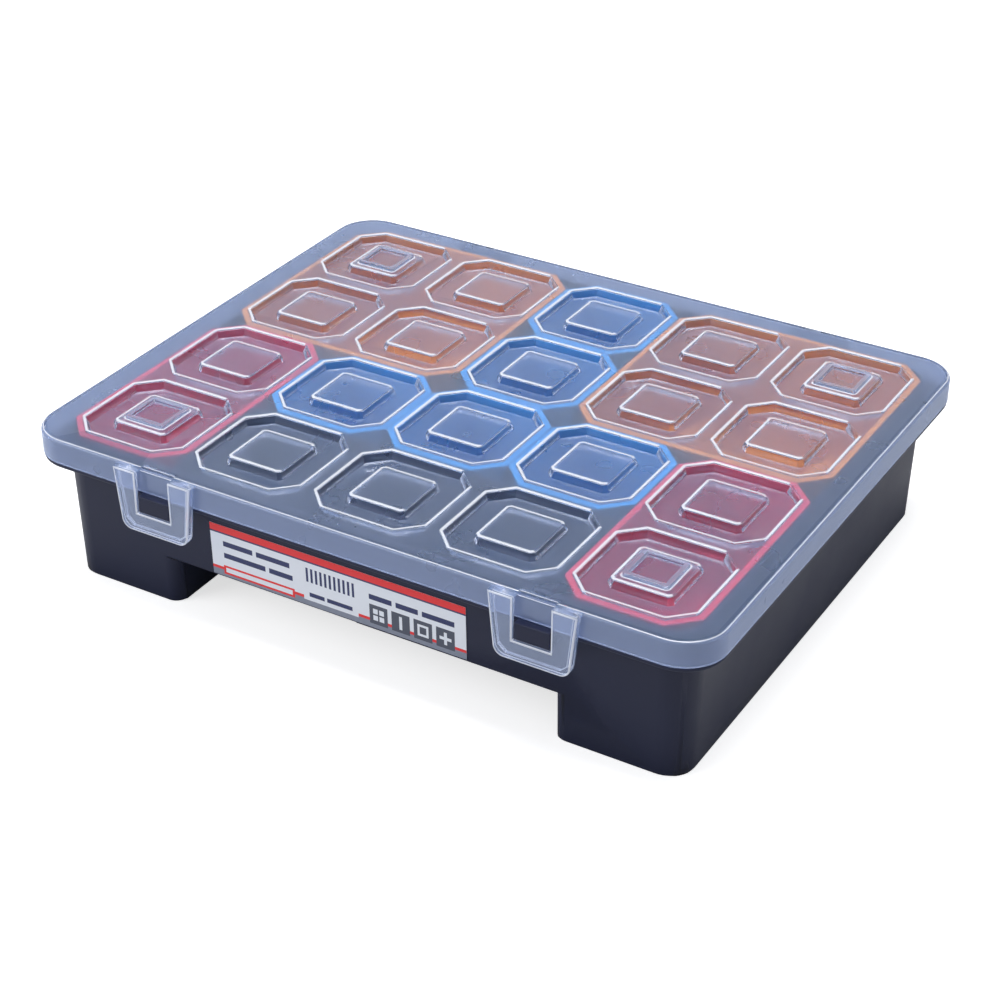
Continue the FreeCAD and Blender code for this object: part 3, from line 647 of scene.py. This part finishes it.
# Plain signs on the tiles, in shares of a tile.
SIGNS = (
    [(0.2, 0.46, 0.2, 0.46), (0.54, 0.8, 0.2, 0.46), (0.2, 0.46, 0.54, 0.8), (0.54, 0.8, 0.54, 0.8)],
    [(0.42, 0.58, 0.16, 0.84)],
    [(0.2, 0.8, 0.2, 0.32), (0.2, 0.8, 0.68, 0.8), (0.2, 0.32, 0.32, 0.68), (0.68, 0.8, 0.32, 0.68)],
    [(0.42, 0.58, 0.18, 0.82), (0.18, 0.82, 0.42, 0.58)],
)


def label_print():
    """All printed patches, in the order they are laid down."""
    patches = list(PRINT)
    left, right, foot, head = BAR_FIELD
    step = (right - left) / (2 * BARS - 1)
    for i in range(BARS):
        patches.append(("navy", left + 2 * i * step, left + (2 * i + 1) * step, foot, head))
    foot, head = TILE_FIELD
    for left, sign in zip(TILES, SIGNS):
        patches.append(("slate", left, left + TILE_WIDTH, foot, head))
        for a, b, c, d in sign:
            patches.append((
                "paper", left + a * TILE_WIDTH, left + b * TILE_WIDTH,
                foot + c * (head - foot), foot + d * (head - foot)))
    return patches


class ORGANIZER_OT_label(bpy.types.Operator):
    """Paper label with plain printed bands, bars and tiles"""
    bl_idname = "organizer.label"
    bl_label = "Label"

    def execute(self, context):
        colours = context.scene.organizer_colours
        inks = {
            "paper": label_ink("paper_coated", colours.paper),
            "red": label_ink("paper_printed_red", colours.ink_red),
            "navy": label_ink("paper_printed_navy", colours.ink_navy),
            "grey": label_ink("paper_printed_grey", colours.ink_grey),
            "slate": label_ink("paper_printed_slate", colours.ink_slate),
        }
        order = list(inks)
        bm = merged_copy("front_label")
        low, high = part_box("front_label")
        size = high - low
        patches = label_print()
        across = sorted({s for p in patches for s in p[1:3] if 0 < s < 1})
        upward = sorted({s for p in patches for s in p[3:5] if 0 < s < 1})
        for shares, axis in ((across, ACROSS), (upward, UP)):
            for share in shares:
                bmesh.ops.bisect_plane(
                    bm, geom=[*bm.verts, *bm.edges, *bm.faces], dist=CUT_DIST,
                    plane_co=low + share * size, plane_no=axis)
        bm.normal_update()
        for face in bm.faces:
            at = face.calc_center_median() - low
            u, v = at.x / size.x, at.z / size.z
            ink = "paper"
            for name, left, right, foot, head in patches:
                if face.normal.dot(-ALONG) > UPRIGHT and left < u < right and foot < v < head:
                    ink = name
            face.material_index = order.index(ink)
        stand_for("front_label", "front_label_print", bm, inks.values())
        return {"FINISHED"}


# Studio panels: name, level, width and height, place and aim, in metres.
PANELS = (
    ("top_softbox", "key", (1.0, 0.5), (0.0, 0.0, 1.3), (0.0, 0.0, 0.0)),
    ("front_left_panel", "fill", (0.8, 0.8), (-0.9, -1.0, 0.7), (0.0, 0.0, 0.02)),
    ("back_strip", "rim", (1.8, 0.25), (-0.75, 1.4, 0.16), (0.0, 0.0, 0.05)),
)
FLOOR_HALF = 6.0
FLOOR_LIFT = 0.66  # light that the floor adds for the camera, so that it comes out white
SENSOR = 36.0  # millimetres
NEAR, FAR = 0.05, 50.0


def soft_light(name, power, size, place, aim):
    """A rectangular studio panel at place that faces aim."""
    data = bpy.data.lights.new(name, "AREA")
    data.shape = "RECTANGLE"
    data.size, data.size_y = size
    data.energy = power
    lamp = bpy.data.objects.new(name, data)
    lamp.location = place
    lamp.rotation_euler = (Vector(aim) - Vector(place)).to_track_quat("-Z", "Y").to_euler()
    bpy.context.scene.collection.objects.link(lamp)


def white_for_looks(tree):
    """1 for rays that show a background: straight from the camera, in a reflection or through the lid."""
    path = add_node(tree, "ShaderNodeLightPath").outputs
    seen = add_node(
        tree, "ShaderNodeMath", {0: path["Is Camera Ray"], 1: path["Is Glossy Ray"]}, operation="MAXIMUM")
    seen = add_node(
        tree, "ShaderNodeMath", {0: seen.outputs[0], 1: path["Is Transmission Ray"]}, operation="MAXIMUM")
    return seen.outputs[0]


class ORGANIZER_OT_stage(bpy.types.Operator):
    """White studio, pale floor, soft lights and the camera"""
    bl_idname = "organizer.stage"
    bl_label = "Studio"

    def execute(self, context):
        stage = context.scene.organizer_stage
        colours = context.scene.organizer_colours
        self.light_room(context, stage, colours)
        self.lay_floor(colours)
        for name, level, size, place, aim in PANELS:
            soft_light(name, getattr(stage, level), size, place, aim)
        self.set_camera(context, stage)
        context.scene.view_settings.view_transform = "Standard"
        return {"FINISHED"}

    def light_room(self, context, stage, colours):
        world = bpy.data.worlds.new("white_room")
        context.scene.world = world
        world.use_nodes = True
        tree = world.node_tree
        tree.nodes.clear()
        lit = add_node(tree, "ShaderNodeBackground", {"Color": colours.room, "Strength": stage.room})
        seen = add_node(tree, "ShaderNodeBackground", {"Color": WHITE, "Strength": 1.0})
        both = add_node(
            tree, "ShaderNodeMixShader", {0: white_for_looks(tree), 1: lit.outputs[0], 2: seen.outputs[0]})
        add_node(tree, "ShaderNodeOutputWorld", {"Surface": both.outputs[0]})

    def lay_floor(self, colours):
        bm = bmesh.new()
        bmesh.ops.create_grid(bm, x_segments=1, y_segments=1, size=FLOOR_HALF)
        mesh = bpy.data.meshes.new("floor")
        bm.to_mesh(mesh)
        bm.free()
        # Painted studio floor: matt, and lifted to white where the camera sees it out of the shadow.
        material, tree = start_material("floor_matt_paint")
        paint = add_node(tree, "ShaderNodeBsdfDiffuse", {"Color": colours.floor})
        path = add_node(tree, "ShaderNodeLightPath").outputs
        lift = add_node(tree, "ShaderNodeMath", {0: path["Is Camera Ray"], 1: FLOOR_LIFT}, operation="MULTIPLY")
        glow = add_node(tree, "ShaderNodeEmission", {"Color": WHITE, "Strength": lift.outputs[0]})
        both = add_node(tree, "ShaderNodeAddShader", {0: paint.outputs[0], 1: glow.outputs[0]})
        mesh.materials.append(close_material(material, tree, both))
        floor = bpy.data.objects.new("floor", mesh)
        bpy.context.scene.collection.objects.link(floor)

    def set_camera(self, context, stage):
        data = bpy.data.cameras.new("camera")
        data.lens = stage.lens
        data.sensor_width = SENSOR
        data.clip_start, data.clip_end = NEAR, FAR
        camera = bpy.data.objects.new("camera", data)
        level = math.cos(stage.elevation)
        back = Vector((
            math.sin(stage.azimuth) * level, -math.cos(stage.azimuth) * level, math.sin(stage.elevation)))
        turn = (-back).to_track_quat("-Z", "Y").to_matrix().to_4x4()
        place = Matrix.Translation(Vector(stage.aim) + back * stage.distance)
        camera.matrix_world = place @ turn @ Matrix.Rotation(stage.roll, 4, "Z")
        context.scene.collection.objects.link(camera)
        context.scene.camera = camera


STEPS = (
    ORGANIZER_OT_tray, ORGANIZER_OT_bins, ORGANIZER_OT_lid, ORGANIZER_OT_latches, ORGANIZER_OT_pins,
    ORGANIZER_OT_label, ORGANIZER_OT_stage,
)


class ORGANIZER_PT_panel(bpy.types.Panel):
    """Buttons for the organizer box's pieces and its studio"""
    bl_idname = "ORGANIZER_PT_panel"
    bl_label = "Organizer box"
    bl_space_type = "VIEW_3D"
    bl_region_type = "UI"
    bl_category = "Organizer"

    def draw(self, context):
        for step in STEPS:
            self.layout.operator(step.bl_idname)


GROUPS = {
    "organizer_sizes": OrganizerSizes,
    "organizer_colours": OrganizerColours,
    "organizer_stage": OrganizerStage,
}
CLASSES = (*GROUPS.values(), *STEPS, ORGANIZER_PT_panel)


def register():
    for cls in CLASSES:
        bpy.utils.register_class(cls)
    for name, group in GROUPS.items():
        setattr(bpy.types.Scene, name, PointerProperty(type=group))


def unregister():
    for name in GROUPS:
        delattr(bpy.types.Scene, name)
    for cls in reversed(CLASSES):
        bpy.utils.unregister_class(cls)


def main():
    register()
    bpy.ops.organizer.tray()
    bpy.ops.organizer.bins()
    bpy.ops.organizer.lid()
    bpy.ops.organizer.latches()
    bpy.ops.organizer.pins()
    bpy.ops.organizer.label()
    bpy.ops.organizer.stage()


if __name__ == "__main__":
    main()
